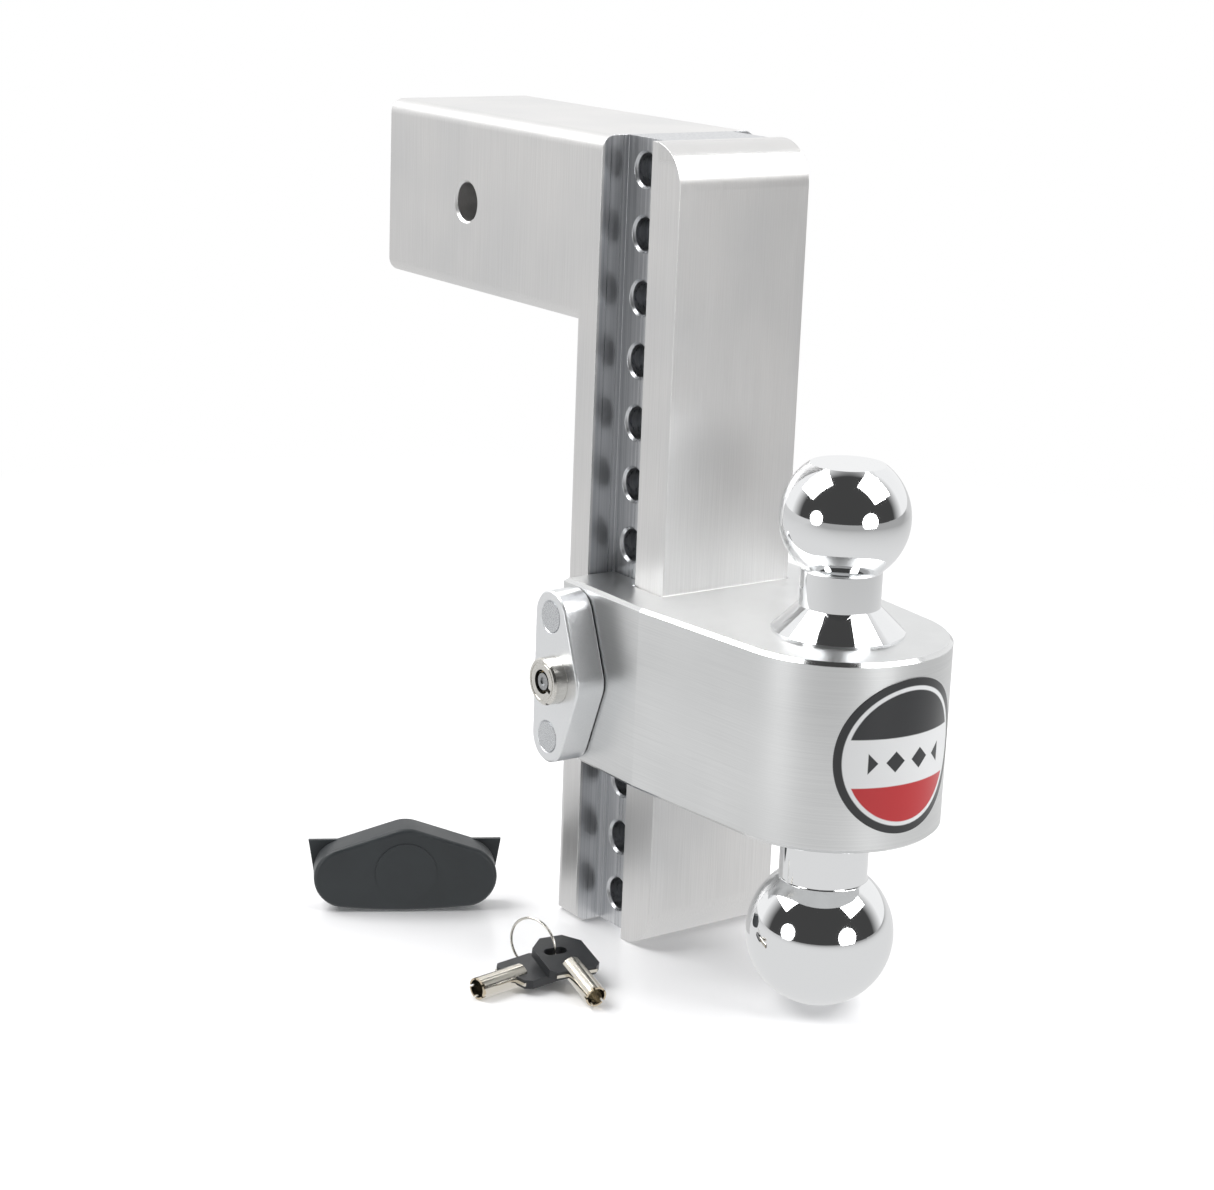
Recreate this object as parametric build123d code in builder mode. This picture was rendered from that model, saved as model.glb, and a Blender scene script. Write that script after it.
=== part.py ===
"""Adjustable drop hitch with a reversible double ball, its locking pin set, dust cap and keys.

Millimetres, +Z up.  The origin is the centre of the hitch-pin hole in the shank.  The shank runs
towards -X, the balls stand on +X, and the locking pins go in from the -Y side.
"""
import os
from math import asin, atan2, cos, pi, radians, sin, sqrt

from build123d import *

os.makedirs("parts", exist_ok=True)

# ---------------------------------------------------------------- driving dimensions
# drawbar: a solid shank and an upright bar, milled from one billet
shank_width = 76.2
shank_height = 76.2
shank_tail = 63.5             # hitch-pin hole to the shank's free end
shank_reach = 83.3            # hitch-pin hole to the upright bar's rear face
hitch_pin_bore = 16.5         # for a 5/8 in hitch pin
hitch_pin_lead = 1.0
billet_edge_radius = 6.0
inner_corner_radius = 13.0
rear_flange_depth = 17.0
groove_length = 24.6          # the side groove, measured along X
front_flange_depth = 19.0
front_flange_width = 63.5
front_corner_radius = 17.5
foot_corner_radius = 19.0
web_width = 50.8

# row of height holes
hole_pitch = 25.4
hole_count = 13
hole_offset = 12.0            # groove's rear wall to the holes' centres
height_hole_gap = 0.6         # a pin in a height hole, on the diameter
height_hole_lead = 1.0
hole_to_top = 12.7
hole_to_foot = 14.5
parked_hole = 9               # the hole that the block's middle stands at

# ball mount block
block_height = 75.0
block_width = 100.0
block_bend = 153.3            # where the flanks start to close in
nose_radius = 44.45
ball_axis = 215.0
block_chamfer = 1.5
slot_chamfer = 0.5
rail_gap = 0.35               # block to drawbar, all round

# balls
top_ball_size = 50.8
bottom_ball_size = 58.74
top_ball_rise = 45.0          # ball centre above the block
bottom_ball_drop = 49.2       # ball centre below the block
ball_flat = 29.2
top_neck = 31.75
bottom_neck = 35.0
neck_blend = 1.2
skirt_size = 52.0
skirt_height = 10.6
skirt_lip = 1.0
shank_bolt = 30.0             # the top ball's bolt through the block
shank_bolt_gap = 0.05
bolt_thread = 25.4
thread_gap = 0.05
thread_length = 38.0
thread_relief = 3.0

# nose badge
badge_size = 61.0             # diameter, measured round the curve
badge_thickness = 0.4
badge_corners = 48

# locking pin set
pin_size = 12.7
pin_running_gap = 0.08
pin_tip_chamfer = 1.8
pin_tip_inset = 4.0           # pin ends stop this far inside the far cheek's face
pin_seat_gap = 0.01
pin_seat_chamfer = 0.5
plate_gap = 0.35              # plate to block
plate_thickness = 13.6
plate_end_radius = 10.8
plate_peak = 20.6             # pin line to the plate's peak
plate_peak_radius = 11.6
plate_chamfer = 0.7

# tubular lock, with depths measured inwards from its face
lock_offset = 4.0             # lock axis beyond the pin line
lock_head = 19.5
lock_proud = 6.0
lock_head_length = 12.0
lock_rim = 0.8
lock_body = 18.6
lock_length = 31.1
lock_seat_gap = 0.02
keyway_outer = 10.0
keyway_inner = 7.0
keyway_depth = 8.0
keyway_notch = 1.8
keyway_notch_reach = 6.8
notch_angle = -27.0
face_ring = 15.5
face_ring_width = 0.5
face_ring_depth = 0.25
chamber_size = 15.6
rotor_gap = 0.05
rotor_length = 8.0
post_inset = 0.5
post_dimple = 3.5
post_dimple_depth = 0.6
tail_size = 6.0
tail_flats = 4.6
stator_length = 13.0
end_gap = 0.15                # rotor to its neighbours, along the axis
tumbler_circle = 8.5
tumbler_size = 1.3
tumbler_gap = 0.03
tumbler_count = 7
driver_length = 3.0
spring_wire = 0.24
spring_turns = 5
spring_length = 6.0
spring_clear = 0.06
stator_pin_size = 1.6
stator_pin_inner = 6.3        # distance of the pin's inner end from the lock axis
stator_pin_depth = 24.0
clip_thickness = 1.0
clip_bite = 0.6
clip_reach = 1.4
clip_gap = 0.1
clip_opening = 60.0

# lock cam, and its pocket inside the near cheek
mouth_gap = 0.35
cam_thickness = 3.0
cam_reach = 12.5
cam_width = 8.0
cam_hub = 6.2
cam_seat_gap = 0.02
cam_gap = 0.35
cam_pocket = 13.5
ledge_depth = 31.5            # lock face to the ledge that the cam catches
cam_start = 31.85             # lock face to the cam
cam_screw = 2.5
cam_screw_head = 7.6
cam_screw_head_height = 1.6
cam_screw_length = 8.0
cam_screw_slot = 0.8
cam_screw_slot_depth = 0.7

# dust cap, standing on its straight side beside the hitch
cap_clearance = 0.4
cap_wall = 2.4
cap_depth = 14.0
cap_face_round = 1.8
cap_boss = 26.0
cap_boss_rise = 0.4
cap_rim_depth = 1.8
cap_rim_reach = 41.2
cap_rim_foot_reach = 38.6
cap_rim_bottom = 12.0
cap_rim_top = 28.2
cap_bow = 1.4                 # how far the foot's ends curve up
cap_bow_steps = 3
cap_x = 54.7
cap_y = -95.0
cap_turn = 62.0               # direction of the cap's long side, from +X

# keys
key_tube = 8.8
key_tube_wall = 0.75
key_tube_length = 23.0
key_bore_depth = 15.0
key_slots = 5
key_slot_width = 0.9
key_slot_depth = 1.6
key_head_start = 17.5
key_head_length = 25.5
key_head_width = 22.0
key_head_thickness = 3.6
key_head_front = 2.5
key_head_back = 6.0
key_bar_length = 18.0
key_bar_depth = 2.4
key_bar_thickness = 1.4
key_bar_proud = 0.3
key_fit = 0.02
key_hole_width = 10.0
key_hole_height = 4.6
left_key_mouth = (146.9, -117.0)
left_key_heading = 98.0
left_key_pitch = 0.0
left_key_hole = (38.4, 0.8)   # along the key, and across it
right_key_mouth = (177.1, -80.5)
right_key_heading = 172.0
right_key_pitch = 10.0
right_key_hole = (32.6, 2.8)
floor_gap = 0.02

# split ring through both key heads
ring_size = 23.0
ring_wire = 1.1
ring_x = 134.2
ring_y = -82.3
ring_turn = 20.4

# ---------------------------------------------------------------- derived positions
bar_rear = shank_reach
groove_rear = bar_rear + rear_flange_depth
groove_front = groove_rear + groove_length
bar_front = groove_front + front_flange_depth
bar_top = shank_height / 2
first_hole = bar_top - hole_to_top
last_hole = first_hole - (hole_count - 1) * hole_pitch
foot_level = last_hole - hole_to_foot
hole_line = groove_rear + hole_offset
height_hole = pin_size + height_hole_gap
block_middle = first_hole - (parked_hole - 1) * hole_pitch
block_top = block_middle + block_height / 2
block_bottom = block_middle - block_height / 2
block_rear = groove_rear + rail_gap
cheek_face = block_width / 2
jaw_inner = web_width / 2 + rail_gap
pocket_side = front_flange_width / 2 + rail_gap
jaw_front = groove_front - rail_gap
pocket_front = bar_front + rail_gap
plate_back = cheek_face + plate_gap
plate_face = plate_back + plate_thickness
lock_x = hole_line + lock_offset
lock_face = plate_face + lock_proud
pin_end = cheek_face - pin_tip_inset
pin_levels = (block_middle + hole_pitch, block_middle - hole_pitch)
rotor_start = keyway_depth + end_gap
stator_start = rotor_start + rotor_length + end_gap
cam_end = cam_start + cam_thickness
screw_end = cam_end + cam_screw_head_height


def save(piece, name):
    """Name a finished piece and write its STEP file."""
    piece.part.label = name
    export_step(piece.part, f"parts/{name}.step")


def inward(depth):
    """A plane facing -Y, this deep behind the lock's face, with axes along +X and +Z."""
    return Plane.XZ.offset(lock_face - depth)


def on_side(edge, distance):
    """Whether an edge lies in one of the two planes at plus and minus this Y."""
    box = edge.bounding_box()
    return abs(abs(box.min.Y) - distance) < 1e-4 and box.max.Y - box.min.Y < 1e-4


def hole_rims(piece, radius, distance):
    """Circular edges of one radius that lie at plus and minus one Y."""
    circles = piece.edges().filter_by(GeomType.CIRCLE)
    return [e for e in circles if abs(e.radius - radius) < 1e-3 and on_side(e, distance)]


# ---------------------------------------------------------------- drawbar
with BuildPart() as drawbar:
    with BuildSketch(Plane.XZ):
        with BuildLine():
            Polyline(
                (-shank_tail, -shank_height / 2),
                (-shank_tail, bar_top),
                (bar_front, bar_top),
                (bar_front, foot_level),
                (bar_rear, foot_level),
                (bar_rear, -shank_height / 2),
                close=True,
            )
        outline = make_face()
        corners = outline.vertices()
        front = [v for v in corners if abs(v.X - bar_front) < 1]
        inner = [v for v in corners if abs(v.X - bar_rear) < 1 and v.Y > foot_level + 1]
        heel = [v for v in corners if abs(v.X - bar_rear) < 1 and v.Y < foot_level + 1]
        fillet(front, front_corner_radius)
        fillet(inner, inner_corner_radius)
        fillet(heel, foot_corner_radius)
    extrude(amount=shank_width / 2, both=True)

    # round every long edge of the billet, but not the square end of the shank
    flank = [e for e in drawbar.edges() if on_side(e, shank_width / 2)]
    flank = [e for e in flank if e.center().X > 1 - shank_tail]
    fillet(flank, billet_edge_radius)

    # side grooves, and a front flange that is narrower than the shank
    spare = shank_width
    with BuildSketch(Plane.XY.offset(foot_level - spare)):
        for side in (1, -1):
            with Locations(((groove_rear + groove_front) / 2, side * (web_width + spare) / 2)):
                Rectangle(groove_length, spare)
            with Locations((groove_front + spare / 2, side * (front_flange_width + spare) / 2)):
                Rectangle(spare, spare)
    extrude(amount=bar_top - foot_level + 2 * spare, mode=Mode.SUBTRACT)

    # height holes through the web
    with BuildSketch(Plane.XZ):
        with Locations(*[(hole_line, first_hole - i * hole_pitch) for i in range(hole_count)]):
            Circle(height_hole / 2)
    extrude(amount=shank_width, both=True, mode=Mode.SUBTRACT)
    chamfer(hole_rims(drawbar, height_hole / 2, web_width / 2), height_hole_lead)

    # hitch-pin hole through the shank
    with BuildSketch(Plane.XZ):
        Circle(hitch_pin_bore / 2)
    extrude(amount=shank_width, both=True, mode=Mode.SUBTRACT)
    chamfer(hole_rims(drawbar, hitch_pin_bore / 2, shank_width / 2), hitch_pin_lead)
save(drawbar, "drawbar")

# ---------------------------------------------------------------- ball mount block
bend_to_axis = ball_axis - block_bend
bend_distance = sqrt(bend_to_axis**2 + cheek_face**2)
taper = asin(nose_radius / bend_distance) - atan2(cheek_face, bend_to_axis)
tangent_length = sqrt(bend_distance**2 - nose_radius**2)
tangent_x = block_bend + tangent_length * cos(taper)
tangent_y = cheek_face + tangent_length * sin(taper)
nose_front = ball_axis + nose_radius

with BuildPart() as ball_mount_block:
    with BuildSketch(Plane.XY.offset(block_bottom)):
        with BuildLine():
            Line((block_rear, -cheek_face), (block_rear, cheek_face))
            Line((block_rear, cheek_face), (block_bend, cheek_face))
            Line((block_bend, cheek_face), (tangent_x, tangent_y))
            ThreePointArc((tangent_x, tangent_y), (nose_front, 0), (tangent_x, -tangent_y))
            Line((tangent_x, -tangent_y), (block_bend, -cheek_face))
            Line((block_bend, -cheek_face), (block_rear, -cheek_face))
        make_face()
    extrude(amount=block_height)
    rims = [e for e in ball_mount_block.edges() if abs(e.center().Z - block_middle) > 1]
    chamfer(rims, block_chamfer)

    # pocket that slides over the bar's web and front flange
    with BuildSketch(Plane.XY.offset(block_bottom)):
        with Locations(((block_rear + jaw_front) / 2, 0)):
            Rectangle(jaw_front - block_rear, 2 * jaw_inner)
        with Locations(((jaw_front + pocket_front) / 2, 0)):
            Rectangle(pocket_front - jaw_front, 2 * pocket_side)
    extrude(amount=block_height, mode=Mode.SUBTRACT)
    rims = [e for e in ball_mount_block.edges() if abs(abs(e.center().Z - block_middle)
            - block_height / 2) < 1e-3 and abs(e.center().Y) < pocket_side + 1e-3
            and e.center().X < pocket_front + 1e-3 and e.center().X > block_rear + 1]
    chamfer(rims, slot_chamfer)

    # bore for the ball's bolt
    with BuildSketch(Plane.XY.offset(block_bottom)):
        with Locations((ball_axis, 0)):
            Circle(shank_bolt / 2 + shank_bolt_gap)
    extrude(amount=block_height, mode=Mode.SUBTRACT)

    # pin holes through both cheeks
    with BuildSketch(Plane.XZ):
        with Locations(*[(hole_line, level) for level in pin_levels]):
            Circle(pin_size / 2 + pin_running_gap)
    extrude(amount=block_width, both=True, mode=Mode.SUBTRACT)

    # mouth that lets the lock and its cam in, and the wider pocket behind it
    with BuildSketch(inward(lock_face - cheek_face - 1)):
        with Locations((lock_x, block_middle)):
            Circle(lock_body / 2 + mouth_gap)
        with Locations((lock_x, block_middle + (cam_reach + mouth_gap) / 2)):
            Rectangle(cam_width + 2 * mouth_gap, cam_reach + mouth_gap)
    extrude(amount=-(cheek_face + 1 - (lock_face - ledge_depth)), mode=Mode.SUBTRACT)
    with BuildSketch(inward(ledge_depth)):
        with Locations((lock_x, block_middle)):
            Circle(cam_pocket)
    extrude(amount=-(lock_face - ledge_depth), mode=Mode.SUBTRACT)
save(ball_mount_block, "ball_mount_block")

# ---------------------------------------------------------------- balls
top_ball_level = block_top + top_ball_rise
bottom_ball_level = block_bottom - bottom_ball_drop
upright = Plane(origin=(ball_axis, 0, 0), x_dir=(1, 0, 0), z_dir=(0, -1, 0))
ball_spin = Axis((ball_axis, 0, 0), (0, 0, 1))
top_radius = top_ball_size / 2
top_flat_rise = sqrt(top_radius**2 - (ball_flat / 2) ** 2)
top_neck_drop = sqrt(top_radius**2 - (top_neck / 2) ** 2)
skirt_top = block_top + skirt_height
shoulder = block_bottom + thread_relief
thread_end = block_bottom - thread_length

with BuildPart() as top_ball:
    with BuildSketch(upright):
        with BuildLine():
            Line((0, thread_end), (0, top_ball_level + top_flat_rise))
            Line((0, top_ball_level + top_flat_rise), (ball_flat / 2, top_ball_level + top_flat_rise))
            ThreePointArc(
                (ball_flat / 2, top_ball_level + top_flat_rise),
                (top_radius, top_ball_level),
                (top_neck / 2, top_ball_level - top_neck_drop),
            )
            Polyline(
                (top_neck / 2, top_ball_level - top_neck_drop),
                (top_neck / 2, skirt_top),
                (skirt_size / 2, block_top + skirt_lip),
                (skirt_size / 2, block_top),
                (shank_bolt / 2, block_top),
                (shank_bolt / 2, shoulder),
                (bolt_thread / 2, shoulder),
                (bolt_thread / 2, thread_end),
                (0, thread_end),
            )
        make_face()
    revolve(axis=ball_spin)
    seam = [e for e in top_ball.edges().filter_by(GeomType.CIRCLE)
            if abs(e.center().Z - top_ball_level + top_neck_drop) < 1e-3]
    fillet(seam, neck_blend)
save(top_ball, "top_ball")

bottom_radius = bottom_ball_size / 2
bottom_neck_rise = sqrt(bottom_radius**2 - (bottom_neck / 2) ** 2)
with BuildPart() as bottom_ball:
    with BuildSketch(upright):
        with BuildLine():
            Line((0, bottom_ball_level - bottom_radius), (0, block_bottom))
            Line((0, block_bottom), (bottom_neck / 2, block_bottom))
            Line((bottom_neck / 2, block_bottom), (bottom_neck / 2, bottom_ball_level + bottom_neck_rise))
            ThreePointArc(
                (bottom_neck / 2, bottom_ball_level + bottom_neck_rise),
                (bottom_radius, bottom_ball_level),
                (0, bottom_ball_level - bottom_radius),
            )
        make_face()
    revolve(axis=ball_spin)
    seam = [e for e in bottom_ball.edges().filter_by(GeomType.CIRCLE)
            if abs(e.center().Z - bottom_ball_level - bottom_neck_rise) < 1e-3]
    fillet(seam, neck_blend)
    with BuildSketch(Plane.XY.offset(block_bottom)):
        with Locations((ball_axis, 0)):
            Circle(bolt_thread / 2 + thread_gap)
    extrude(amount=-(thread_length + thread_relief), mode=Mode.SUBTRACT)
save(bottom_ball, "bottom_ball")

# ---------------------------------------------------------------- nose badge
badge_radius = badge_size / 2


def badge_point(step):
    """A point on the badge's rim, as Y and Z on a plane in front of the nose."""
    turn = 2 * pi * step / badge_corners
    around = badge_radius * cos(turn) / nose_radius
    return (nose_radius * sin(around), block_middle + badge_radius * sin(turn))


with BuildPart() as nose_badge:
    with BuildSketch(Plane.XY.offset(block_bottom)):
        with Locations((ball_axis, 0)):
            Circle(nose_radius + badge_thickness)
            Circle(nose_radius, mode=Mode.SUBTRACT)
    extrude(amount=block_height)
    with BuildSketch(Plane.YZ.offset(ball_axis)):
        with BuildLine():
            Spline(*[badge_point(step) for step in range(badge_corners)], periodic=True)
        make_face()
    extrude(amount=2 * nose_radius, mode=Mode.INTERSECT)
save(nose_badge, "nose_badge")


# ---------------------------------------------------------------- locking pin set
def plate_outline(end_radius, peak_radius):
    """Rounded triangle round both pins and the lock; the peak stays concentric as it grows."""
    with Locations(*[(hole_line, level) for level in pin_levels]):
        Circle(end_radius)
    with Locations((hole_line + plate_peak - plate_peak_radius, block_middle)):
        Circle(peak_radius)
    make_hull()


with BuildPart() as lock_plate:
    with BuildSketch(inward(lock_face - plate_back)):
        plate_outline(plate_end_radius, plate_peak_radius)
    extrude(amount=plate_thickness)
    rims = [e for e in lock_plate.edges() if on_side(e, plate_face) or on_side(e, plate_back)]
    chamfer(rims, plate_chamfer)
    with BuildSketch(inward(0)):
        with Locations(*[(hole_line, level) for level in pin_levels]):
            Circle(pin_size / 2 + pin_seat_gap)
        with Locations((lock_x, block_middle)):
            Circle(lock_body / 2 + lock_seat_gap)
    extrude(amount=-lock_face, mode=Mode.SUBTRACT)
    chamfer(hole_rims(lock_plate, pin_size / 2 + pin_seat_gap, plate_face), pin_seat_chamfer)
    with BuildSketch(inward(0)):
        with Locations((lock_x, block_middle)):
            Circle(lock_head / 2 + lock_seat_gap)
    extrude(amount=-lock_head_length, mode=Mode.SUBTRACT)
    with BuildSketch(inward(lock_face - plate_back)):
        with Locations((lock_x, block_middle)):
            Circle(lock_body / 2 + clip_reach + mouth_gap)
    extrude(amount=clip_thickness + 3 * clip_gap, mode=Mode.SUBTRACT)
save(lock_plate, "lock_plate")


def lock_pin(name, level):
    with BuildPart() as pin:
        with BuildSketch(inward(lock_face - plate_face)):
            with Locations((hole_line, level)):
                Circle(pin_size / 2)
        extrude(amount=-(plate_face + pin_end))
        tip = [e for e in pin.edges() if e.center().Y > pin_end - 1e-3]
        chamfer(tip, pin_tip_chamfer)
    save(pin, name)


lock_pin("upper_pin", pin_levels[0])
lock_pin("lower_pin", pin_levels[1])

# ---------------------------------------------------------------- tubular lock
with BuildPart() as lock_housing:
    with BuildSketch(inward(0)):
        with Locations((lock_x, block_middle)):
            Circle(lock_head / 2)
    extrude(amount=-lock_head_length)
    with BuildSketch(inward(lock_head_length)):
        with Locations((lock_x, block_middle)):
            Circle(lock_body / 2)
    extrude(amount=-(lock_length - lock_head_length))
    chamfer(hole_rims(lock_housing, lock_head / 2, lock_face), lock_rim)
    with BuildSketch(inward(lock_length)):
        with Locations((lock_x, block_middle)):
            Circle(chamber_size / 2)
    extrude(amount=lock_length - keyway_depth, mode=Mode.SUBTRACT)
    with BuildSketch(inward(0)):
        with Locations((lock_x, block_middle)):
            Circle(keyway_outer / 2)
        notch_x = lock_x + keyway_notch_reach / 2 * cos(radians(notch_angle))
        notch_z = block_middle + keyway_notch_reach / 2 * sin(radians(notch_angle))
        with Locations(Location((notch_x, notch_z), notch_angle)):
            Rectangle(keyway_notch_reach, keyway_notch)
    extrude(amount=-keyway_depth, mode=Mode.SUBTRACT)
    with BuildSketch(inward(0)):
        with Locations((lock_x, block_middle)):
            Circle(face_ring / 2 + face_ring_width / 2)
            Circle(face_ring / 2 - face_ring_width / 2, mode=Mode.SUBTRACT)
    extrude(amount=-face_ring_depth, mode=Mode.SUBTRACT)
    # groove for the clip
    clip_start = lock_face - plate_back - clip_thickness - 2 * clip_gap
    with BuildSketch(inward(clip_start)):
        with Locations((lock_x, block_middle)):
            Circle(lock_body)
            Circle(lock_body / 2 - clip_bite, mode=Mode.SUBTRACT)
    extrude(amount=-(clip_thickness + clip_gap), mode=Mode.SUBTRACT)
    # cross hole for the stator pin
    with BuildSketch(Plane.XY.offset(block_middle)):
        with Locations((lock_x, stator_pin_depth - lock_face)):
            Circle(stator_pin_size / 2)
    extrude(amount=-lock_body, mode=Mode.SUBTRACT)
save(lock_housing, "lock_housing")

tumbler_turn = 360 / tumbler_count
tumbler_spots = [
    (lock_x + tumbler_circle / 2 * sin(radians(i * tumbler_turn)),
     block_middle + tumbler_circle / 2 * cos(radians(i * tumbler_turn)))
    for i in range(tumbler_count)
]

with BuildPart() as lock_spindle:
    with BuildSketch(inward(post_inset)):
        with Locations((lock_x, block_middle)):
            Circle(keyway_inner / 2)
    extrude(amount=post_inset - rotor_start)
    with BuildSketch(inward(rotor_start)):
        with Locations((lock_x, block_middle)):
            Circle(chamber_size / 2 - rotor_gap)
    extrude(amount=-rotor_length)
    with BuildSketch(inward(rotor_start + rotor_length)):
        with Locations((lock_x, block_middle)):
            Circle(tail_size / 2)
    extrude(amount=rotor_start + rotor_length - cam_end + cam_gap)
    with BuildSketch(inward(cam_start - end_gap)):
        for side in (1, -1):
            with Locations((lock_x + side * (tail_flats + tail_size) / 2, block_middle)):
                Rectangle(tail_size, 2 * tail_size)
    extrude(amount=-cam_end, mode=Mode.SUBTRACT)
    with BuildSketch(inward(post_inset)):
        with Locations((lock_x, block_middle)):
            Circle(post_dimple / 2)
    extrude(amount=-post_dimple_depth, mode=Mode.SUBTRACT)
    with BuildSketch(inward(rotor_start)):
        with Locations(*tumbler_spots):
            Circle(tumbler_size / 2 + tumbler_gap)
    extrude(amount=-rotor_length, mode=Mode.SUBTRACT)
    with BuildSketch(inward(cam_end)):
        with Locations((lock_x, block_middle)):
            Circle(cam_screw / 2 + cam_seat_gap)
    extrude(amount=cam_screw_length + cam_gap, mode=Mode.SUBTRACT)
save(lock_spindle, "lock_spindle")

with BuildPart() as lock_stator:
    with BuildSketch(inward(stator_start)):
        with Locations((lock_x, block_middle)):
            Circle(chamber_size / 2 - cam_seat_gap)
            Circle(tail_size / 2 + rotor_gap, mode=Mode.SUBTRACT)
    extrude(amount=-stator_length)
    with BuildSketch(inward(stator_start)):
        with Locations(*tumbler_spots):
            Circle(tumbler_size / 2 + tumbler_gap)
    extrude(amount=-(driver_length + spring_length + spring_clear), mode=Mode.SUBTRACT)
    with BuildSketch(Plane.XY.offset(block_middle - stator_pin_inner + end_gap)):
        with Locations((lock_x, stator_pin_depth - lock_face)):
            Circle(stator_pin_size / 2)
    extrude(amount=-lock_body, mode=Mode.SUBTRACT)
save(lock_stator, "lock_stator")

with BuildPart() as key_pins:
    with BuildSketch(inward(rotor_start + end_gap)):
        with Locations(*tumbler_spots):
            Circle(tumbler_size / 2)
    extrude(amount=2 * end_gap - rotor_length)
save(key_pins, "key_pins")

with BuildPart() as driver_pins:
    with BuildSketch(inward(stator_start)):
        with Locations(*tumbler_spots):
            Circle(tumbler_size / 2)
    extrude(amount=-driver_length)
save(driver_pins, "driver_pins")

spring_start = stator_start + driver_length + spring_clear / 2
spring_radius = tumbler_size / 2 - spring_wire / 2
spring_rise = spring_length - spring_wire
with BuildPart() as one_spring:
    with BuildLine():
        Helix(spring_rise / spring_turns, spring_rise, spring_radius)
    with BuildSketch(Plane(origin=(spring_radius, 0, 0), x_dir=(1, 0, 0), z_dir=(0, 1, 0))):
        Circle(spring_wire / 2)
    sweep(is_frenet=True)
with BuildPart() as tumbler_springs:
    for spot_x, spot_z in tumbler_spots:
        spot = Location((spot_x, spring_start + spring_wire / 2 - lock_face, spot_z), (-90, 0, 0))
        add(one_spring.part.moved(spot))
save(tumbler_springs, "tumbler_springs")

with BuildPart() as stator_pin:
    with BuildSketch(Plane.XY.offset(block_middle - stator_pin_inner)):
        with Locations((lock_x, stator_pin_depth - lock_face)):
            Circle(stator_pin_size / 2)
    extrude(amount=stator_pin_inner - lock_body / 2 + end_gap)
save(stator_pin, "stator_pin")

with BuildPart() as lock_clip:
    with BuildSketch(inward(clip_start + clip_gap / 2)):
        with Locations((lock_x, block_middle)):
            Circle(lock_body / 2 + clip_reach)
            Circle(lock_body / 2 - clip_bite + clip_gap / 2, mode=Mode.SUBTRACT)
        with BuildLine():
            opening = lock_body * sin(radians(clip_opening / 2))
            Polyline(
                (lock_x, block_middle),
                (lock_x - opening, block_middle - lock_body),
                (lock_x + opening, block_middle - lock_body),
                close=True,
            )
        make_face(mode=Mode.SUBTRACT)
    extrude(amount=-clip_thickness)
save(lock_clip, "lock_clip")

with BuildPart() as lock_cam:
    with BuildSketch(inward(cam_start)):
        with Locations((lock_x, block_middle)):
            Circle(cam_hub)
        with Locations((lock_x, block_middle + cam_reach / 2)):
            Rectangle(cam_width, cam_reach)
        with Locations((lock_x, block_middle)):
            Circle(cam_reach, mode=Mode.INTERSECT)
    extrude(amount=-cam_thickness)
    with BuildSketch(inward(cam_start)):
        with Locations((lock_x, block_middle)):
            Circle(tail_size / 2 + cam_seat_gap)
            Rectangle(tail_flats + 2 * cam_seat_gap, 2 * tail_size, mode=Mode.INTERSECT)
    extrude(amount=-cam_thickness, mode=Mode.SUBTRACT)
save(lock_cam, "lock_cam")

with BuildPart() as cam_screw_piece:
    with BuildSketch(inward(cam_end)):
        with Locations((lock_x, block_middle)):
            Circle(cam_screw / 2)
    extrude(amount=cam_screw_length)
    with BuildSketch(inward(cam_end)):
        with Locations((lock_x, block_middle)):
            Circle(cam_screw_head / 2)
    extrude(amount=-cam_screw_head_height)
    with BuildSketch(inward(screw_end)):
        with Locations((lock_x, block_middle)):
            Rectangle(cam_screw_head, cam_screw_slot)
    extrude(amount=cam_screw_slot_depth, mode=Mode.SUBTRACT)
save(cam_screw_piece, "cam_screw")


# ---------------------------------------------------------------- dust cap
cap_side = radians(cap_turn)
cap_plane = Plane(
    origin=(cap_x, cap_y, foot_level),
    x_dir=(cos(cap_side), sin(cap_side), 0),
    z_dir=(sin(cap_side), -cos(cap_side), 0),
)


def cap_outline(margin, bow):
    """The plate's outline grown by a margin, on its side, with the cap's foot at zero."""
    base = plate_end_radius + cap_clearance + cap_wall
    for step in range(-cap_bow_steps, cap_bow_steps + 1):
        share = step / cap_bow_steps
        with Locations((share * hole_pitch, base + bow * share**2)):
            Circle(plate_end_radius + margin)
    with Locations((0, base + plate_peak - plate_peak_radius)):
        Circle(plate_peak_radius + margin)
    make_hull()


with BuildPart() as dust_cap:
    with BuildSketch(cap_plane.offset(-cap_depth)):
        cap_outline(cap_clearance + cap_wall, cap_bow)
    extrude(amount=cap_depth)
    face_rim = dust_cap.faces().sort_by(Axis(cap_plane.origin, cap_plane.z_dir))[-1].edges()
    fillet(face_rim, cap_face_round)
    with BuildSketch(cap_plane.offset(-cap_depth)):
        with BuildLine():
            Polyline(
                (-cap_rim_foot_reach, cap_rim_bottom),
                (cap_rim_foot_reach, cap_rim_bottom),
                (cap_rim_reach, cap_rim_top),
                (-cap_rim_reach, cap_rim_top),
                close=True,
            )
        make_face()
    extrude(amount=cap_rim_depth)
    with BuildSketch(cap_plane.offset(-cap_depth)):
        cap_outline(cap_clearance, 0)
    extrude(amount=cap_depth - cap_wall, mode=Mode.SUBTRACT)
    with BuildSketch(cap_plane):
        with Locations((0, plate_end_radius + cap_clearance + cap_wall + lock_offset)):
            Circle(cap_boss / 2)
    extrude(amount=cap_boss_rise)
save(dust_cap, "dust_cap")


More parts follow.
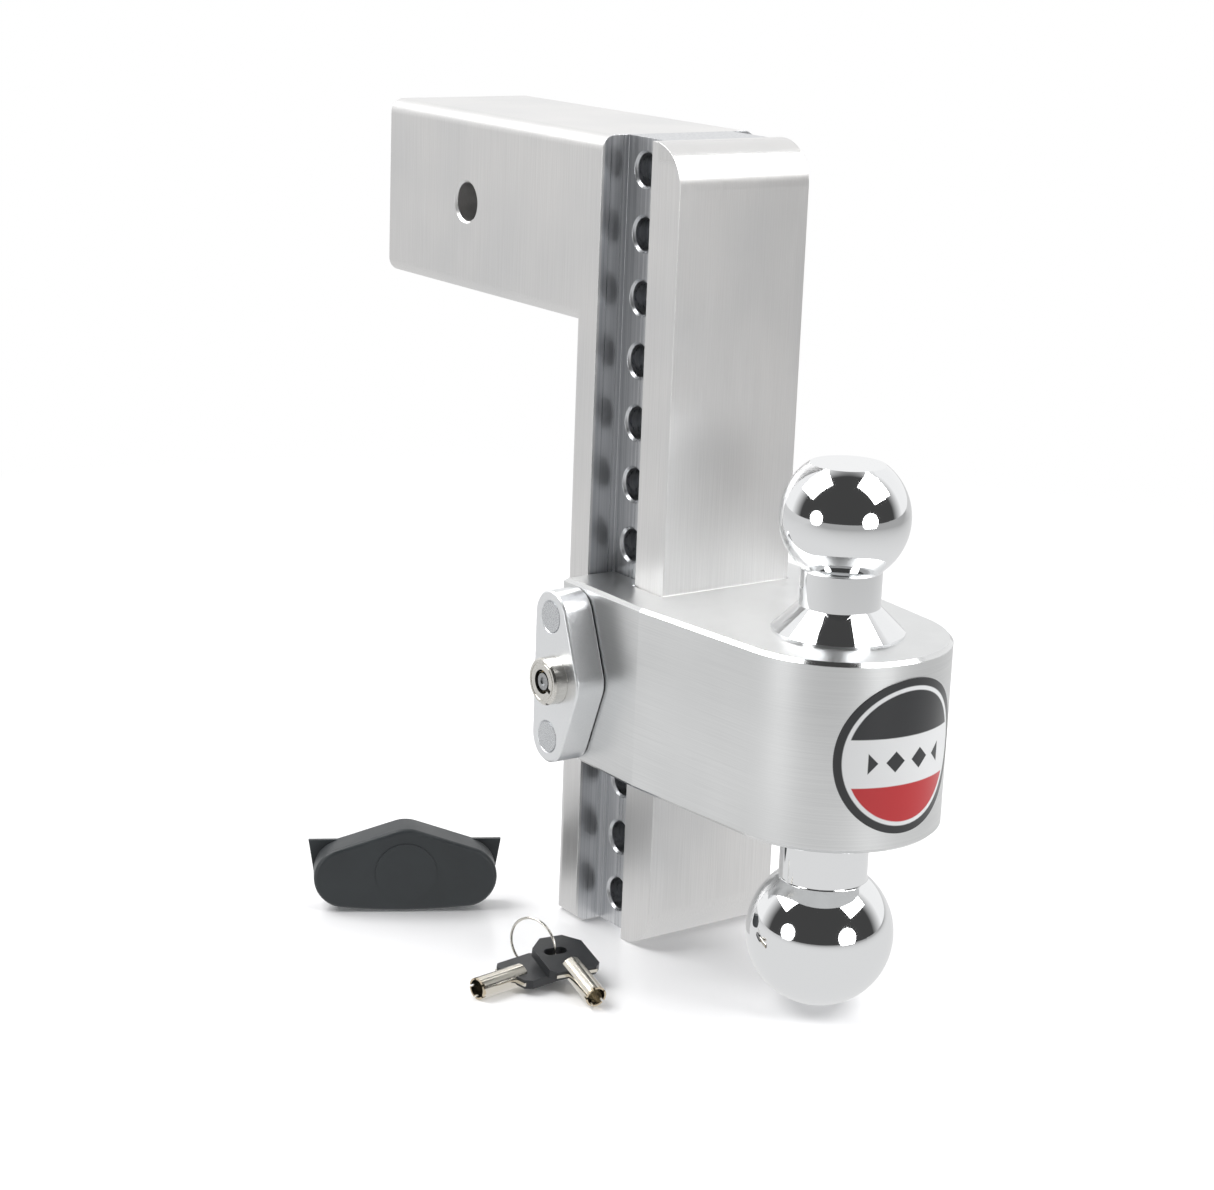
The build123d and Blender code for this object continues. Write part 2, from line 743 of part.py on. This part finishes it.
# ---------------------------------------------------------------- keys
def key_frame(mouth, heading, pitch):
    """A key's own plane: X runs from its mouth to its head, Y across it, Z away from the floor."""
    turn = radians(heading)
    lift = radians(pitch)
    height = foot_level + key_tube / 2 * cos(lift) + floor_gap
    return Plane(
        origin=(mouth[0], mouth[1], height),
        x_dir=(cos(turn) * cos(lift), sin(turn) * cos(lift), sin(lift)),
        z_dir=(-cos(turn) * sin(lift), -sin(turn) * sin(lift), cos(lift)),
    )


def key(side, mouth, heading, pitch, hole):
    """One tubular key: a steel tube with a cross bar, and a moulded head."""
    flat = key_frame(mouth, heading, pitch)
    across = Plane(origin=flat.origin, x_dir=flat.y_dir, z_dir=flat.x_dir)
    with BuildPart() as tube:
        with BuildSketch(across):
            Circle(key_tube / 2)
        extrude(amount=key_tube_length)
        with BuildSketch(across):
            Circle(key_tube / 2 - key_tube_wall)
        extrude(amount=key_bore_depth, mode=Mode.SUBTRACT)
        with BuildSketch(across):
            with PolarLocations(key_tube / 2, key_slots):
                Rectangle(4 * key_tube_wall, key_slot_width)
        extrude(amount=key_slot_depth, mode=Mode.SUBTRACT)
        bar_plane = flat.offset(-key_bar_thickness / 2)
        bar_middle = key_head_start - key_bar_proud + key_bar_depth / 2
        with BuildSketch(bar_plane):
            with Locations((bar_middle, 0)):
                Rectangle(key_bar_depth, key_bar_length)
        extrude(amount=key_bar_thickness)
    save(tube, f"{side}_key_tube")

    with BuildPart() as head:
        with BuildSketch(flat.offset(-key_head_thickness / 2)):
            with Locations((key_head_start + key_head_length / 2, 0)):
                plan = Rectangle(key_head_length, key_head_width)
            plan_corners = plan.vertices()
            near = [v for v in plan_corners if abs(v.X - key_head_start) < 1e-3]
            far = [v for v in plan_corners if abs(v.X - key_head_start) > 1]
            chamfer(near, key_head_front)
            chamfer(far, key_head_back)
        extrude(amount=key_head_thickness)
        with BuildSketch(across.offset(key_head_start - 1)):
            Circle(key_tube / 2 + key_fit)
        extrude(amount=key_tube_length - key_head_start + 1 + key_fit, mode=Mode.SUBTRACT)
        with BuildSketch(flat.offset(-key_bar_thickness / 2 - key_fit)):
            with Locations((bar_middle, 0)):
                Rectangle(key_bar_depth + 2 * key_fit, key_bar_length + 2 * key_fit)
        extrude(amount=key_bar_thickness + 2 * key_fit, mode=Mode.SUBTRACT)
        with BuildSketch(flat.offset(-key_head_thickness)):
            with Locations(hole):
                SlotOverall(key_hole_width, key_hole_height, rotation=90)
        extrude(amount=2 * key_head_thickness, mode=Mode.SUBTRACT)
    save(head, f"{side}_key_head")


key("left", left_key_mouth, left_key_heading, left_key_pitch, left_key_hole)
key("right", right_key_mouth, right_key_heading, right_key_pitch, right_key_hole)

ring_line = radians(ring_turn)
ring_middle = foot_level + ring_size / 2 + floor_gap
ring_plane = Plane(
    origin=(ring_x, ring_y, ring_middle),
    x_dir=(cos(ring_line), sin(ring_line), 0),
    z_dir=(sin(ring_line), -cos(ring_line), 0),
)
with BuildPart() as key_ring:
    with BuildSketch(Plane(origin=ring_plane.origin, x_dir=ring_plane.x_dir, z_dir=ring_plane.y_dir)):
        with Locations((ring_size / 2 - ring_wire / 2, 0)):
            Circle(ring_wire / 2)
    revolve(axis=Axis(ring_plane.origin, ring_plane.z_dir))
save(key_ring, "key_ring")
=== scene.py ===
"""Looks for the adjustable drop hitch: its finishes, the white table it stands on, its lights
and its camera.  Metres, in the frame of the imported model: the origin is the hitch-pin hole,
+X is towards the balls and +Z is up.
"""

from math import cos, radians, sin

import bpy
from mathutils import Matrix, Vector


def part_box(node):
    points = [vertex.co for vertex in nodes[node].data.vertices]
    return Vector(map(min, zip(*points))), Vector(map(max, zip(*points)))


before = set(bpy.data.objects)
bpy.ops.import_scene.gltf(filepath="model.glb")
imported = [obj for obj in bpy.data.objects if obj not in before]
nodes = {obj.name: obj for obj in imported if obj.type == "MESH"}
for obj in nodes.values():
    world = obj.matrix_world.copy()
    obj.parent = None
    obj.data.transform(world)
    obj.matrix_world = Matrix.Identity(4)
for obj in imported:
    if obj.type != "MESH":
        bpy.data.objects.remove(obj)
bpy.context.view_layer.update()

# ---------------------------------------------------------------- places read from the model
bar_low, bar_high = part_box("drawbar")
block_low, block_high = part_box("ball_mount_block")
badge_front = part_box("nose_badge")[1].x
table_level = bar_low.z
ball_axis = sum(corner.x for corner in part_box("top_ball")) / 2
block_middle = (block_low.z + block_high.z) / 2
RAIL_GAP = 0.00035            # block to the groove's rear wall
FRONT_FLANGE = 0.019          # depth of the bar's front flange
GROOVE_MOUTH = 0.0368         # the groove's cut finish stops this far from the middle plane
groove_rear = block_low.x - RAIL_GAP
groove_front = bar_high.x - FRONT_FLANGE
HAIR = 0.00005                # so that a wall counts as inside the groove


# ---------------------------------------------------------------- material tools
def shade(hex_colour, alpha=1.0):
    """An sRGB hex colour as linear red, green, blue and alpha."""
    channels = [int(hex_colour[i : i + 2], 16) / 255 for i in (1, 3, 5)]
    linear = [c / 12.92 if c <= 0.04045 else ((c + 0.055) / 1.055) ** 2.4 for c in channels]
    return (*linear, alpha)


def fill(made, sockets):
    """Fills a node's sockets with values, or with links from sockets or nodes."""
    for name, value in sockets.items():
        if isinstance(value, bpy.types.Node):
            value = next(socket for socket in value.outputs if socket.enabled)
        if isinstance(value, bpy.types.NodeSocket):
            made.id_data.links.new(value, made.inputs[name])
        else:
            made.inputs[name].default_value = value


def add(tree, kind, sockets=None, **settings):
    """Adds a node with its settings, and fills its sockets."""
    made = tree.nodes.new(kind)
    for name, value in settings.items():
        setattr(made, name, value)
    fill(made, sockets or {})
    return made


def start(name):
    """An empty material: its tree, its surface shader and its coordinates."""
    made = bpy.data.materials.new(name)
    made.use_nodes = True
    tree = made.node_tree
    return made, tree, tree.nodes["Principled BSDF"], add(tree, "ShaderNodeTexCoord").outputs


def per_mm(millimetres):
    """Texture scale, per metre, of a pattern that repeats at this spacing."""
    return 1000.0 / millimetres


def clouds(tree, place, size, detail):
    """Soft patches of this size in mm."""
    return add(tree, "ShaderNodeTexNoise", {"Vector": place["Object"], "Scale": per_mm(size),
               "Detail": detail})


def scratches(tree, place, spacing, detail=3.0):
    """Noise drawn out into scratches, whose spacing in mm is given along X, Y and Z."""
    stretched = add(tree, "ShaderNodeMapping", {"Vector": place["Object"],
                    "Scale": [per_mm(s) for s in spacing]})
    return add(tree, "ShaderNodeTexNoise", {"Vector": stretched, "Scale": 1.0, "Detail": detail,
               "Roughness": 0.6})


def ramp(low, high, out_low, out_high, value):
    """The sockets that take a value from one range to another, held at the ends."""
    return {"Value": value, "From Min": low, "From Max": high, "To Min": out_low,
            "To Max": out_high}


RAMP, MATHS, MIX, BUMP = ("ShaderNodeMapRange", "ShaderNodeMath", "ShaderNodeMix",
                          "ShaderNodeBump")


# ---------------------------------------------------------------- finishes
def billet_aluminium():
    """6061 aluminium billet, belt-brushed upright and clear anodised: a pale satin metal whose
    fine upright scratches pull highlights into vertical bands.  The side grooves are glossier,
    with the upright tool steps of the end mill, and their colour is darkened all over as painted
    shade in the recess; the round at the top keeps the coarse sparkle of its form cutter."""
    made, tree, shader, place = start("brushed_aluminium_billet")
    spot = add(tree, "ShaderNodeSeparateXYZ", {0: place["Object"]}).outputs
    side = add(tree, MATHS, {0: spot["Y"]}, operation="ABSOLUTE")
    # scratches from a 120 grit belt are about 0.1 mm apart; drawn at 0.35 mm so that they show
    belt = scratches(tree, place, (0.35, 0.35, 40.0))
    cloud = clouds(tree, place, 45.0, 2.0)
    # end-mill steps are about 1.2 mm apart
    steps = scratches(tree, place, (1.2, 1.2, 500.0), 2.0)
    # form-cutter chatter is about 0.9 mm across
    chatter = scratches(tree, place, (0.9, 0.9, 2.0), 2.0)

    past_rear = add(tree, MATHS, {0: spot["X"], 1: groove_rear - HAIR}, operation="GREATER_THAN")
    before_front = add(tree, MATHS, {0: spot["X"], 1: groove_front + HAIR}, operation="LESS_THAN")
    inside = add(tree, MATHS, {0: side, 1: GROOVE_MOUTH}, operation="LESS_THAN")
    between = add(tree, MATHS, {0: past_rear, 1: before_front}, operation="MULTIPLY")
    in_groove = add(tree, MATHS, {0: between, 1: inside}, operation="MULTIPLY")
    near_top = add(tree, RAMP, ramp(bar_high.z - 0.0085, bar_high.z - 0.006, 0.0, 1.0, spot["Z"]))
    past_flange = add(tree, RAMP, ramp(groove_front + 0.003, groove_front + 0.005, 0.0, 1.0,
                      spot["X"]))
    on_round = add(tree, MATHS, {0: near_top, 1: past_flange}, operation="MULTIPLY")

    patch = add(tree, RAMP, ramp(0.3, 0.7, 0.0, 1.0, cloud))
    satin = add(tree, MIX, {0: patch, 6: shade("#DFDFDF"), 7: shade("#E8E7E6")}, data_type="RGBA")
    scratch = add(tree, RAMP, ramp(0.35, 0.65, 0.0, 0.3, belt))
    satin = add(tree, MIX, {0: scratch, 6: satin, 7: shade("#CBCAC9")}, data_type="RGBA")
    step = add(tree, RAMP, ramp(0.35, 0.7, 0.0, 1.0, steps))
    # painted shade: the whole groove is coloured darker than the faces outside it, over its real
    # upright tool steps
    steps_and_painted_shade = add(tree, MIX, {0: step, 6: shade("#BDBFC2"), 7: shade("#DBDCDE")}, data_type="RGBA")
    colour = add(tree, MIX, {0: in_groove, 6: satin, 7: steps_and_painted_shade}, data_type="RGBA")

    rough_satin = add(tree, RAMP, ramp(0.3, 0.7, 0.32, 0.42, belt))
    rough_milled = add(tree, RAMP, ramp(0.3, 0.7, 0.26, 0.38, steps))
    rough = add(tree, MIX, {0: in_groove, 2: rough_satin, 3: rough_milled})
    rough = add(tree, MIX, {0: on_round, 2: rough, 3: 0.2})

    # corners broken by hand to about 0.4 mm, which show as thin bright lines
    broken = add(tree, "ShaderNodeBevel", {"Radius": 0.0004}, samples=4)
    grain = add(tree, MIX, {0: in_groove, 2: belt, 3: steps})
    fine = add(tree, BUMP, {"Height": grain, "Distance": 0.00001, "Strength": 0.4,
               "Normal": broken})
    rise = add(tree, MATHS, {0: chatter, 1: on_round}, operation="MULTIPLY")
    coarse = add(tree, BUMP, {"Height": rise, "Distance": 0.00012, "Strength": 0.8,
                 "Normal": fine})
    fill(shader, {"Metallic": 1.0, "Base Color": colour, "Roughness": rough, "Normal": coarse})
    return made


def block_aluminium():
    """6061 aluminium block, fly-cut and brushed along its length: level scratches on its sides,
    and a finer top with its chamfers cut to a mirror."""
    made, tree, shader, place = start("brushed_aluminium_block")
    # belt scratches, drawn at 0.35 mm so that they show
    level = scratches(tree, place, (45.0, 45.0, 0.35))
    top = scratches(tree, place, (30.0, 0.5, 0.5))
    cloud = clouds(tree, place, 60.0, 2.0)
    facing = add(tree, "ShaderNodeSeparateXYZ", {0: place["Normal"]}).outputs
    upward = add(tree, MATHS, {0: facing["Z"]}, operation="ABSOLUTE")
    is_flat = add(tree, MATHS, {0: upward, 1: 0.9}, operation="GREATER_THAN")
    is_sloped = add(tree, MATHS, {0: upward, 1: 0.4}, operation="GREATER_THAN")
    is_chamfer = add(tree, MATHS, {0: is_sloped, 1: is_flat}, operation="SUBTRACT")

    patch = add(tree, RAMP, ramp(0.3, 0.7, 0.0, 1.0, cloud))
    satin = add(tree, MIX, {0: patch, 6: shade("#DDDEDE"), 7: shade("#E8E9E9")}, data_type="RGBA")
    scratch = add(tree, RAMP, ramp(0.35, 0.65, 0.0, 0.25, level))
    satin = add(tree, MIX, {0: scratch, 6: satin, 7: shade("#C8C9CA")}, data_type="RGBA")

    rough = add(tree, RAMP, ramp(0.3, 0.7, 0.3, 0.37, level))
    rough = add(tree, MIX, {0: is_chamfer, 2: rough, 3: 0.12})
    # corners broken to about 0.4 mm
    broken = add(tree, "ShaderNodeBevel", {"Radius": 0.0004}, samples=4)
    grain = add(tree, MIX, {0: is_flat, 2: level, 3: top})
    fine = add(tree, BUMP, {"Height": grain, "Distance": 0.00001, "Strength": 0.35,
               "Normal": broken})
    fill(shader, {"Metallic": 1.0, "Base Color": satin, "Roughness": rough, "Normal": fine})
    return made


def plate_aluminium():
    """Aluminium plate with a fine vibratory-ground face: even, pale and almost without grain."""
    made, tree, shader, place = start("ground_aluminium_plate")
    grain = clouds(tree, place, 0.8, 3.0)
    colour = add(tree, MIX, {0: grain, 6: shade("#E6E8EA"), 7: shade("#F2F3F4")},
                 data_type="RGBA")
    rough = add(tree, RAMP, ramp(0.3, 0.7, 0.28, 0.4, grain))
    # the plate's edge is broken to about 0.5 mm
    broken = add(tree, "ShaderNodeBevel", {"Radius": 0.0005}, samples=4)
    fine = add(tree, BUMP, {"Height": grain, "Distance": 0.00002, "Strength": 0.4,
               "Normal": broken})
    fill(shader, {"Metallic": 1.0, "Base Color": colour, "Roughness": rough, "Normal": fine})
    return made


def ball_chrome():
    """Forged steel ball, polished and hard-chrome plated: a mirror with faint polishing haze."""
    made, tree, shader, place = start("chrome_plated_steel")
    # polishing haze in patches about 12 mm wide
    haze = clouds(tree, place, 12.0, 4.0)
    rough = add(tree, RAMP, ramp(0.3, 0.8, 0.03, 0.08, haze))
    fine = add(tree, BUMP, {"Height": haze, "Distance": 0.00002, "Strength": 0.15})
    fill(shader, {"Metallic": 1.0, "Base Color": shade("#EDEEEF"), "Roughness": rough,
                  "Normal": fine})
    return made


def turned_metal(name, dark, light, smooth, rough, spacing):
    """A turned or ground metal piece: fine marks at the spacing in mm, between two colours."""
    made, tree, shader, place = start(name)
    marks = scratches(tree, place, (spacing, spacing * 12, spacing))
    patch = add(tree, RAMP, ramp(0.3, 0.7, 0.0, 1.0, marks))
    colour = add(tree, MIX, {0: patch, 6: shade(dark), 7: shade(light)}, data_type="RGBA")
    dullness = add(tree, RAMP, ramp(0.3, 0.7, smooth, rough, marks))
    fine = add(tree, BUMP, {"Height": marks, "Distance": 0.00001, "Strength": 0.4})
    fill(shader, {"Metallic": 1.0, "Base Color": colour, "Roughness": dullness, "Normal": fine})
    return made


def key_nickel(name, mouth, into):
    """Nickel-plated brass tube: a warm bright metal, worn through to brass round its mouth."""
    made, tree, shader, place = start(name)
    along = add(tree, "ShaderNodeVectorMath", {0: place["Object"], 1: mouth},
                operation="SUBTRACT")
    depth = add(tree, "ShaderNodeVectorMath", {0: along, 1: into}, operation="DOT_PRODUCT")
    wear = clouds(tree, place, 1.5, 2.0)
    ragged = add(tree, RAMP, ramp(0.3, 0.7, -0.0006, 0.0006, wear))
    edge = add(tree, MATHS, {0: depth, 1: ragged}, operation="ADD")
    worn = add(tree, RAMP, ramp(0.0004, 0.0011, 0.5, 0.0, edge))
    colour = add(tree, MIX, {0: worn, 6: shade("#DDD8CD"), 7: shade("#CBB38A")},
                 data_type="RGBA")
    rough = add(tree, RAMP, ramp(0.3, 0.7, 0.1, 0.2, wear))
    fine = add(tree, BUMP, {"Height": wear, "Distance": 0.00003, "Strength": 0.3})
    fill(shader, {"Metallic": 1.0, "Base Color": colour, "Roughness": rough, "Normal": fine})
    return made


def cap_rubber():
    """Moulded EPDM rubber: matte dark slate that turns pale grey at grazing angles, with a fine
    spark-eroded mould texture and a little dust."""
    made, tree, shader, place = start("moulded_rubber")
    # mould texture about 0.6 mm across
    grain = clouds(tree, place, 0.6, 3.0)
    bloom = clouds(tree, place, 14.0, 3.0)
    patch = add(tree, RAMP, ramp(0.3, 0.75, 0.0, 1.0, bloom))
    colour = add(tree, MIX, {0: patch, 6: shade("#22272A"), 7: shade("#2A2F32")},
                 data_type="RGBA")
    rough = add(tree, RAMP, ramp(0.3, 0.7, 0.42, 0.55, bloom))
    fine = add(tree, BUMP, {"Height": grain, "Distance": 0.00004, "Strength": 0.35})
    fill(shader, {"Base Color": colour, "Roughness": rough, "IOR": 1.52, "Sheen Weight": 0.15,
                  "Sheen Roughness": 0.4, "Normal": fine})
    return made


def key_plastic():
    """Moulded ABS: near black, semi-matte, with a fine textured skin."""
    made, tree, shader, place = start("moulded_abs")
    grain = clouds(tree, place, 0.5, 3.0)
    colour = add(tree, MIX, {0: grain, 6: shade("#1A1C1F"), 7: shade("#26282B")},
                 data_type="RGBA")
    rough = add(tree, RAMP, ramp(0.3, 0.7, 0.34, 0.46, grain))
    fine = add(tree, BUMP, {"Height": grain, "Distance": 0.00003, "Strength": 0.35})
    fill(shader, {"Base Color": colour, "Roughness": rough, "IOR": 1.54, "Normal": fine})
    return made


# the badge's print, in metres from its middle
CAP_LINE = 0.0080
FOOT_LINE = -0.0110
DIAMOND_ROW = -0.0015
DIAMOND_PITCH = 0.0116
DIAMOND_HALF = 0.0040
DIAMOND_REACH = 0.0172
GAP_REACH = 0.0256
RIM_REACH = 0.0272
PRINT_EDGE = 0.0002           # half the width of a soft printed edge


def badge_print():
    """Domed printed foil: a gloss black cap and a red foot either side of a silver band that
    carries a row of dark diamonds, all inside a black rim."""
    made, tree, shader, place = start("printed_badge_foil")
    spot = add(tree, "ShaderNodeSeparateXYZ", {0: place["Object"]}).outputs
    # the foil is wrapped round the nose, so its width is measured along the curve
    nose = badge_front - ball_axis
    sine = add(tree, MATHS, {0: spot["Y"], 1: nose}, operation="DIVIDE")
    turn = add(tree, MATHS, {0: sine}, operation="ARCSINE")
    across = add(tree, MATHS, {0: turn, 1: nose}, operation="MULTIPLY")
    up = add(tree, MATHS, {0: spot["Z"], 1: block_middle}, operation="SUBTRACT")
    across_squared = add(tree, MATHS, {0: across, 1: across}, operation="MULTIPLY")
    up_squared = add(tree, MATHS, {0: up, 1: up}, operation="MULTIPLY")
    both_squared = add(tree, MATHS, {0: across_squared, 1: up_squared}, operation="ADD")
    reach = add(tree, MATHS, {0: both_squared}, operation="SQRT")

    # a diamond is where the two distances from its centre add up to less than its half width
    shifted = add(tree, MATHS, {0: across, 1: DIAMOND_PITCH / 2}, operation="ADD")
    column = add(tree, MATHS, {0: shifted, 1: DIAMOND_PITCH / 2}, operation="PINGPONG")
    level = add(tree, MATHS, {0: up, 1: -DIAMOND_ROW}, operation="ADD")
    row = add(tree, MATHS, {0: level}, operation="ABSOLUTE")
    taxi = add(tree, MATHS, {0: column, 1: row}, operation="ADD")
    inside = add(tree, RAMP, ramp(DIAMOND_HALF, DIAMOND_HALF + 0.0003, 1.0, 0.0, taxi))
    sideways = add(tree, MATHS, {0: across}, operation="ABSOLUTE")
    near = add(tree, RAMP, ramp(DIAMOND_REACH, DIAMOND_REACH + 0.0003, 1.0, 0.0, sideways))
    diamond = add(tree, MATHS, {0: inside, 1: near}, operation="MULTIPLY")

    silver, black, red = shade("#D9DADB"), shade("#17191C"), shade("#B0161D")
    layers = (
        (ramp(CAP_LINE - PRINT_EDGE, CAP_LINE + PRINT_EDGE, 0.0, 1.0, up), black),
        (ramp(FOOT_LINE - PRINT_EDGE, FOOT_LINE + PRINT_EDGE, 1.0, 0.0, up), red),
        (ramp(0.0, 1.0, 0.0, 1.0, diamond), black),
        (ramp(GAP_REACH, GAP_REACH + 2 * PRINT_EDGE, 0.0, 1.0, reach), silver),
        (ramp(RIM_REACH, RIM_REACH + 2 * PRINT_EDGE, 0.0, 1.0, reach), black),
    )
    face = silver
    for share, ink in layers:
        face = add(tree, MIX, {0: add(tree, RAMP, share), 6: face, 7: ink}, data_type="RGBA")
    grain = clouds(tree, place, 2.0, 2.0)
    fine = add(tree, BUMP, {"Height": grain, "Distance": 0.00002, "Strength": 0.2})
    fill(shader, {"Base Color": face, "Roughness": 0.28, "Coat Weight": 0.5,
                  "Coat Roughness": 0.1, "Normal": fine})
    return made


def finish_nodes(names, material):
    """Puts one material on every slot of these CAD nodes."""
    for name in names:
        slots = nodes[name].data.materials
        if not slots:
            slots.append(material)
        for i in range(len(slots)):
            slots[i] = material


def key_mouth(tube, heading, pitch):
    """The mouth's centre and the direction into a key tube, from its mesh and its heading."""
    turn, lift = radians(heading), radians(pitch)
    into = Vector((cos(turn) * cos(lift), sin(turn) * cos(lift), sin(lift)))
    points = [v.co for v in nodes[tube].data.vertices]
    reach = min(p.dot(into) for p in points)
    rim = [p for p in points if p.dot(into) < reach + 1e-5]
    return sum(rim, Vector()) / len(rim), into


finish_nodes(["drawbar"], billet_aluminium())
finish_nodes(["ball_mount_block"], block_aluminium())
finish_nodes(["lock_plate"], plate_aluminium())
finish_nodes(["top_ball", "bottom_ball"], ball_chrome())
finish_nodes(["dust_cap"], cap_rubber())
finish_nodes(["left_key_head", "right_key_head"], key_plastic())
finish_nodes(["nose_badge"], badge_print())

TURNED = (
    # material, dark and light colour, smoothest and roughest, spacing of the marks, pieces
    ("ground_steel_pin", "#BFC1C4", "#DADCDE", 0.2, 0.32, 0.5, ["upper_pin", "lower_pin"]),
    ("nickel_plated_lock", "#CFCDC8", "#E2E0DB", 0.12, 0.22, 0.6, ["lock_housing"]),
    ("turned_lock_steel", "#8F9193", "#B9BABB", 0.25, 0.4, 0.4,
     ["lock_spindle", "lock_cam", "cam_screw", "lock_clip", "stator_pin", "tumbler_springs"]),
    ("turned_lock_brass", "#B08D4C", "#CDAA66", 0.2, 0.35, 0.4,
     ["lock_stator", "key_pins", "driver_pins"]),
    ("nickel_plated_key_ring", "#C9C6BF", "#E3E0D9", 0.1, 0.2, 0.5, ["key_ring"]),
)
for *finish, pieces in TURNED:
    finish_nodes(pieces, turned_metal(*finish))

KEYS = (
    # side, heading from +X and pitch of the key, in degrees
    ("left", 98.0, 0.0),
    ("right", 172.0, 10.0),
)
for side, heading, pitch in KEYS:
    tube = side + "_key_tube"
    finish_nodes([tube], key_nickel("nickel_plated_" + tube, *key_mouth(tube, heading, pitch)))

# ---------------------------------------------------------------- table
TABLE_NEAR = 0.3              # the table's glow in reflections starts to fade here
TABLE_FAR = 1.3
TABLE_GLOW = 0.8
TABLE_FADE_LEFT = 0.7         # what it fades to at the table's left end
TABLE_FADE_RIGHT = 0.42
PLAIN_FROM = 0.45             # the table runs out to plain white between these distances
PLAIN_BY = 0.9


def table_material():
    """White melamine board under studio light.  Near the hitch it is real, with its shadows and a
    soft mirror image; further off it runs out to plain white.  In the metal's reflections it
    fades with distance, as a table that ends in a dim room does."""
    made, tree, shader, place = start("white_melamine")
    patches = clouds(tree, place, 30.0, 2.0)
    fill(shader, {"Base Color": shade("#FCFCFD"),
                  "Roughness": add(tree, RAMP, ramp(0.3, 0.7, 0.2, 0.24, patches))})
    reach = add(tree, "ShaderNodeVectorMath", {0: place["Object"]}, operation="LENGTH")
    far = add(tree, RAMP, ramp(PLAIN_FROM, PLAIN_BY, 0.0, 1.0, reach))
    white = add(tree, "ShaderNodeEmission", {"Color": shade("#FFFFFF"), "Strength": 1.0})
    seen = add(tree, "ShaderNodeMixShader", {0: far, 1: shader, 2: white})
    # the left end of the table is better lit than the right
    along = add(tree, "ShaderNodeSeparateXYZ", {0: place["Object"]}).outputs["X"]
    ends = add(tree, RAMP, ramp(-0.4, 0.5, TABLE_FADE_LEFT, TABLE_FADE_RIGHT, along))
    glow = add(tree, RAMP, ramp(TABLE_NEAR, TABLE_FAR, TABLE_GLOW, ends, reach))
    echo = add(tree, "ShaderNodeEmission", {"Color": shade("#FFFFFF"), "Strength": glow})
    path = add(tree, "ShaderNodeLightPath").outputs
    both = add(tree, "ShaderNodeMixShader", {0: path["Is Camera Ray"], 1: echo, 2: seen})
    fill(tree.nodes["Material Output"], {"Surface": both})
    return made


HALF_TABLE = 12.0
CLEAR = 0.0002                # the table lies this far under the hitch, so that they never share a face
table_mesh = bpy.data.meshes.new("table")
corners = [(x * HALF_TABLE, y * HALF_TABLE, 0) for x, y in ((-1, -1), (1, -1), (1, 1), (-1, 1))]
table_mesh.from_pydata(corners, [], [(0, 1, 2, 3)])
table = bpy.data.objects.new("table", table_mesh)
table.location = (0.1, 0, table_level - CLEAR)
bpy.context.scene.collection.objects.link(table)
table_mesh.materials.append(table_material())

# ---------------------------------------------------------------- camera
CAMERA_AZIMUTH = 54.519
CAMERA_ELEVATION = 15.316
CAMERA_ROLL = 2.167
CAMERA_DISTANCE = 1.1392
CAMERA_TARGET = Vector((0.06118, 0.0, -0.16394))
CAMERA_LENS = 78.0
azimuth, elevation, roll = (radians(a) for a in (CAMERA_AZIMUTH, CAMERA_ELEVATION, CAMERA_ROLL))
back = Vector((sin(azimuth) * cos(elevation), -cos(azimuth) * cos(elevation), sin(elevation)))
level_right = Vector((cos(azimuth), sin(azimuth), 0))
level_up = back.cross(level_right)
right = cos(roll) * level_right + sin(roll) * level_up
up = cos(roll) * level_up - sin(roll) * level_right
camera = bpy.data.objects.new("camera", bpy.data.cameras.new("camera"))
camera.data.lens = CAMERA_LENS
camera.data.sensor_width = 36.0
camera.data.sensor_fit = "HORIZONTAL"
camera.data.clip_start = 0.05
camera.matrix_world = Matrix.Translation(CAMERA_TARGET + back * CAMERA_DISTANCE) @ Matrix(
    (right, up, back)).transposed().to_4x4()
bpy.context.scene.collection.objects.link(camera)
bpy.context.scene.camera = camera


# ---------------------------------------------------------------- light
def softbox(name, place, target, shape, size, power):
    """A soft light at a place, turned to a target: a box, or a round umbrella."""
    lamp = bpy.data.lights.new(name, "AREA")
    lamp.shape = shape
    lamp.size = size
    lamp.energy = power
    made = bpy.data.objects.new(name, lamp)
    made.location = place
    made.rotation_euler = (Vector(target) - Vector(place)).to_track_quat("-Z", "Y").to_euler()
    bpy.context.scene.collection.objects.link(made)


middle = Vector((0.12, 0.0, -0.15))
STUDIO = (
    # name, direction from the hitch, distance, shape, width, power
    ("left_softbox", (-0.369, -0.518, 0.772), 1.6, "SQUARE", 1.1, 22.0),
    ("right_softbox", (0.524, 0.403, 0.751), 1.6, "SQUARE", 1.1, 22.0),
    ("left_umbrella", (0.049, -0.994, 0.10), 1.7, "DISK", 0.7, 6.0),
    ("right_umbrella", (0.997, 0.070, 0.08), 1.7, "DISK", 0.8, 9.0),
)
for name, direction, distance, shape, size, power in STUDIO:
    softbox(name, middle + distance * Vector(direction), middle, shape, size, power)

# a white backdrop behind the hitch, and a dim room on the camera's side
ROOM_GLOW = 0.06
BACKDROP_GLOW = 1.0
world = bpy.data.worlds.new("studio")
world.use_nodes = True
bpy.context.scene.world = world
sky = world.node_tree
ray = add(sky, "ShaderNodeTexCoord")
facing = add(sky, "ShaderNodeVectorMath", {0: ray.outputs["Generated"],
             1: (level_right.y, -level_right.x, 0.0)}, operation="DOT_PRODUCT")
backdrop = add(sky, RAMP, ramp(0.05, -0.35, ROOM_GLOW, BACKDROP_GLOW, facing))
fill(sky.nodes["Background"], {"Color": shade("#FFFFFF"), "Strength": backdrop})
bpy.context.scene.view_settings.view_transform = "Standard"
